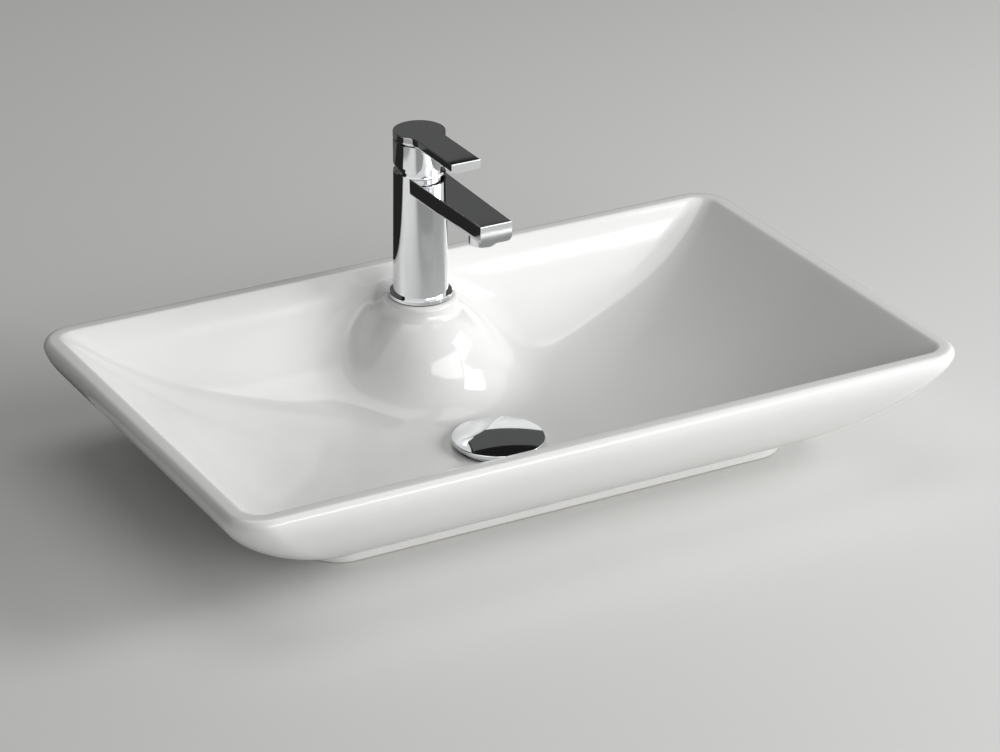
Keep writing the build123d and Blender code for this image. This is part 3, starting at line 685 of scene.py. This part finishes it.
def glazed_ceramic(colours):
    """Glassy white glaze: faint clouds and pinholes, a slow ripple, bare clay under the foot."""
    f = Finish("glazed_ceramic")
    bare_clay = (0.55, 0.51, 0.45)
    clouds = f.noise(9, 3)
    pinhole = 1 - f.specks(160).above(0.055, 0.03)
    bare = 1 - (f.place().part("Z") + f.noise(300) * 0.0003).above(0.0012, 0.0004)
    white = f.blend(clouds.above(0.5, 0.5), tint(colours.glaze, 0.985), tint(colours.glaze, 1.012))
    white = f.blend(pinhole * 0.1, white, tint(colours.glaze, 0.82))
    white = f.blend(bare, white, bare_clay)
    rough = 0.06 + clouds * 0.05 + bare * 0.6
    ripple = f.bump(f.noise(55, 1) * (1 - bare) + f.noise(1500, 2) * bare * 0.6, 0.00005)
    return f.shade(Base_Color=white, Roughness=rough, Normal=ripple, IOR=1.52)


def chrome_plate(colours):
    """Mirror plating: a little haze in patches, dried drops, the waviness of polished brass."""
    f = Finish("chrome_plate")
    haze = f.noise(35, 4, 0.6)
    drops = 1 - f.specks(210).above(0.16, 0.10)
    some = f.noise(28, 1).above(0.58, 0.08)
    tone = f.blend(haze, tint(colours.chrome, 0.97), tint(colours.chrome, 1.02))
    rough = 0.035 + haze.above(0.55, 0.4) * 0.035 + drops * some * 0.05
    wave = f.bump(f.noise(40, 1) + f.noise(700, 2) * 0.02, 0.00001)
    return f.shade(Base_Color=tone, Metallic=1.0, Roughness=rough, Normal=wave)


def turned_brass(colours):
    """Bare machined brass: fine turning marks, dull patches and a deeper tone in them."""
    f = Finish("turned_brass")
    patches = f.noise(60, 4, 0.6)
    marks = f.bump(f.noise(90, 2, stretch=(1, 1, 22)), 0.00004)
    tone = f.blend(patches.above(0.5, 0.5), colours.brass, tint(colours.brass, 0.72))
    return f.shade(Base_Color=tone, Metallic=1.0, Roughness=0.22 + patches * 0.22, Normal=marks)


def brushed_steel(colours):
    """Stainless steel with short streaks along its length and a slight grain."""
    f = Finish("brushed_steel")
    streaks = f.noise(160, 4, 0.6, stretch=(6, 6, 0.6))
    tone = f.blend(streaks, tint(colours.steel, 0.8), tint(colours.steel, 1.15))
    grain = f.bump(streaks, 0.00003)
    return f.shade(Base_Color=tone, Metallic=1.0, Roughness=0.24 + streaks * 0.2, Normal=grain)


def black_rubber(colours):
    """Moulded rubber: fine grain, and a grey bloom in patches."""
    f = Finish("black_rubber")
    grain = f.noise(1400, 3, 0.6)
    bloom = f.noise(45, 3)
    tone = f.blend(bloom.above(0.56, 0.3), colours.rubber, tint(colours.rubber, 2.2))
    return f.shade(Base_Color=tone, Roughness=0.5 + grain * 0.22, Normal=f.bump(grain, 0.00006))


def moulded_plastic(colours):
    """Light grey engineering plastic with a fine eroded texture and flow marks."""
    f = Finish("moulded_plastic")
    grain = f.noise(900, 3, 0.6)
    flow = f.noise(30, 3, stretch=(1, 1, 3))
    tone = f.blend(flow, tint(colours.plastic, 0.93), tint(colours.plastic, 1.05))
    return f.shade(Base_Color=tone, Roughness=0.34 + grain * 0.16, Normal=f.bump(grain, 0.00004))


def lapped_discs(colours):
    """Lapped technical ceramic: nearly smooth, warm white, with fine grey grains."""
    f = Finish("lapped_discs")
    grains = 1 - f.specks(1200).above(0.2, 0.1)
    tone = f.blend(grains * 0.35, colours.disc, tint(colours.disc, 0.6))
    rough = 0.13 + f.noise(80) * 0.1
    return f.shade(Base_Color=tone, Roughness=rough, Normal=f.bump(grains, 0.000004))


FINISHES = {
    "white_ceramic": glazed_ceramic,
    "chrome": chrome_plate,
    "brass": turned_brass,
    "rubber": black_rubber,
    "steel": brushed_steel,
    "plastic": moulded_plastic,
    "disc_ceramic": lapped_discs,
}


def finish_for(slot):
    """The material of a slot, made the first time that it is asked for."""
    maker = FINISHES[slot]
    return bpy.data.materials.get(maker.__name__) or maker(bpy.context.scene.basin_colours)


# ---------------------------------------------------------------- studio

FLOOR_REACH = 40.0

# lamp, width, height and place in metres; each is aimed at the middle of the basin
LAMPS = (
    ("key", 1.3, 1.1, (2.0, -1.15, 1.15)),
    ("fill", 2.4, 0.9, (0.7, -2.4, 0.75)),
    ("top", 2.0, 1.2, (0.1, 0.3, 2.2)),
)
LAMPS_AIM = (0, 0, 0.05)

# cards behind, faintly glowing sheets which only reflections see and which paint dark reflections:
# tone, front edge, and heights of front and back edge
CARDS = (
    ("foot_card", 0.02, 0.21, 0.001, 0.001),
    # painted shade: the low band of the wall near the basin, darker than the grey card above it
    ("low_card", 0.02, 0.36, 0.001, 0.10),
    ("grey_card", 0.10, 0.36, 0.10, 0.36),
    ("black_card", 0.012, 0.36, 0.36, 1.0),
)
CARDS_LEFT, CARDS_RIGHT, CARDS_BACK = -2.2, 1.1, 0.36

SHOWN_TONE = 0.92
CAMERA_PLACE = (-1.2301, -2.2599, 1.2755)
CAMERA_SENSOR = 36.0
CAMERA_SHIFT = -0.0074


def flat_quad(name, corners, finish):
    """A flat four-cornered object of the studio."""
    data = bpy.data.meshes.new(name)
    data.from_pydata(corners, [], [(0, 1, 2, 3)])
    data.materials.append(finish)
    quad = bpy.data.objects.new(name, data)
    bpy.context.scene.collection.objects.link(quad)
    return quad


def make_floor(colour):
    """Plain pale floor, dull so that it shows no reflection of the basin or the cards."""
    f = Finish("studio_floor")
    tone = f.blend(f.noise(1.5), colour, tint(colour, 1.03))
    finish = f.shade(Base_Color=tone, Roughness=0.8 + f.noise(20) * 0.1, Specular_IOR_Level=0.0)
    r = FLOOR_REACH
    floor = flat_quad("floor", [(-r, -r, 0), (r, -r, 0), (r, r, 0), (-r, r, 0)], finish)


def make_surround(scene, strength):
    """Weak white light all round, which the camera and reflections see as a pale background."""
    scene.world = bpy.data.worlds.new("surround")
    scene.world.use_nodes = True
    g = Graph(scene.world.node_tree)
    kinds = ("Is Camera Ray", "Is Glossy Ray", "Is Transmission Ray")
    camera, glossy, through = (g.node("ShaderNodeLightPath", {}, {}, kind) for kind in kinds)
    lit = g.node("ShaderNodeBackground", {}, {"Color": (1, 1, 1, 1), "Strength": strength})
    shown_colour = (SHOWN_TONE, SHOWN_TONE, SHOWN_TONE, 1)
    shown = g.node("ShaderNodeBackground", {}, {"Color": shown_colour, "Strength": 1.0})
    seen = camera.larger(glossy).larger(through)
    mix = g.node("ShaderNodeMixShader", {}, {0: seen, 1: lit, 2: shown})
    g.node("ShaderNodeOutputWorld", {}, {"Surface": mix})


def make_lamp(scene, name, power, width, height, spot):
    """Rectangular soft lamp, turned towards the basin."""
    lamp = bpy.data.lights.new(name, "AREA")
    lamp.shape = "RECTANGLE"
    lamp.energy = power
    lamp.size = width
    lamp.size_y = height
    holder = bpy.data.objects.new(name, lamp)
    holder.location = spot
    aim = Vector(LAMPS_AIM) - Vector(spot)
    holder.rotation_euler = aim.to_track_quat("-Z", "Y").to_euler()
    scene.collection.objects.link(holder)


def make_card(name, tone, front, low, high):
    """Dark card that lamps and camera pass through and only reflections see: it glows faintly and
    paints a dark reflection.
    """
    corners = [(CARDS_LEFT, front, low), (CARDS_RIGHT, front, low)]
    corners += [(CARDS_RIGHT, CARDS_BACK, high), (CARDS_LEFT, CARDS_BACK, high)]
    card = flat_quad(name, corners, Finish(name).glow(tone))
    card.visible_camera = False
    card.visible_diffuse = False
    card.visible_shadow = False


def make_camera(scene, settings):
    """Camera in the photograph's place, looking along its azimuth and elevation."""
    turn, tilt = settings.azimuth, settings.elevation
    level = math.cos(tilt)
    forward = Vector((math.sin(turn) * level, math.cos(turn) * level, -math.sin(tilt)))
    lens = bpy.data.cameras.new("camera")
    lens.lens = settings.lens
    lens.sensor_width = CAMERA_SENSOR
    lens.sensor_fit = "HORIZONTAL"
    lens.shift_x = CAMERA_SHIFT
    eye = bpy.data.objects.new("camera", lens)
    eye.location = CAMERA_PLACE
    eye.rotation_euler = forward.to_track_quat("-Z", "Y").to_euler()
    scene.collection.objects.link(eye)
    scene.camera = eye


# ---------------------------------------------------------------- operators


class BASIN_OT_ceramic(bpy.types.Operator):
    """Build the glazed body: rim, bowl, boss, foot and the hollow below"""

    bl_idname = "basin.ceramic"
    bl_label = "Ceramic body"

    def execute(self, context):
        data = ceramic_mesh(context.scene.basin_shape)
        finish = finish_for("white_ceramic")
        place("ceramic_body", data, finish, "basin", "basin_bowl", "white_ceramic")
        return {"FINISHED"}


class BASIN_OT_finishes(bpy.types.Operator):
    """Give every solid its own finish"""

    bl_idname = "basin.finishes"
    bl_label = "Finishes of the fittings"

    def execute(self, context):
        for row in frame["record"]["subparts"]:
            for slot in frame["nodes"][row["node"]].material_slots:
                slot.material = finish_for(row["material_slot"])
        return {"FINISHED"}


class BASIN_OT_studio(bpy.types.Operator):
    """Set up the floor, the surround, the soft lamps, the cards and the camera"""

    bl_idname = "basin.studio"
    bl_label = "Studio"

    def execute(self, context):
        scene = context.scene
        settings = scene.basin_studio
        make_floor(scene.basin_colours.floor)
        make_surround(scene, settings.sky)
        for name, width, height, spot in LAMPS:
            make_lamp(scene, name, getattr(settings, name), width, height, spot)
        for card in CARDS:
            make_card(*card)
        make_camera(scene, settings)
        scene.view_settings.view_transform = "Standard"
        return {"FINISHED"}


class BASIN_PT_panel(bpy.types.Panel):
    """The basin's pieces and sizes"""

    bl_idname = "BASIN_PT_panel"
    bl_label = "Countertop basin"
    bl_space_type = "VIEW_3D"
    bl_region_type = "UI"
    bl_category = "Basin"

    def draw(self, context):
        for title, group, kind in GROUPS:
            box = self.layout.box()
            box.label(text=title)
            for name in kind.__annotations__:
                box.prop(getattr(context.scene, group), name)
        for operator in OPERATORS:
            self.layout.operator(operator.bl_idname)


GROUPS = (
    ("Body", "basin_shape", BasinShape),
    ("Colours", "basin_colours", FinishColours),
    ("Studio", "basin_studio", StudioSettings),
)
OPERATORS = (BASIN_OT_finishes, BASIN_OT_ceramic, BASIN_OT_studio)


def register():
    for _title, name, kind in GROUPS:
        bpy.utils.register_class(kind)
        setattr(bpy.types.Scene, name, PointerProperty(type=kind))
    for operator in OPERATORS:
        bpy.utils.register_class(operator)
    bpy.utils.register_class(BASIN_PT_panel)


def unregister():
    bpy.utils.unregister_class(BASIN_PT_panel)
    for operator in reversed(OPERATORS):
        bpy.utils.unregister_class(operator)
    for _title, name, kind in reversed(GROUPS):
        delattr(bpy.types.Scene, name)
        bpy.utils.unregister_class(kind)


def main():
    """Build every piece and the studio."""
    register()
    for operator in OPERATORS:
        family, name = operator.bl_idname.split(".")
        getattr(getattr(bpy.ops, family), name)()


if __name__ == "__main__":
    main()
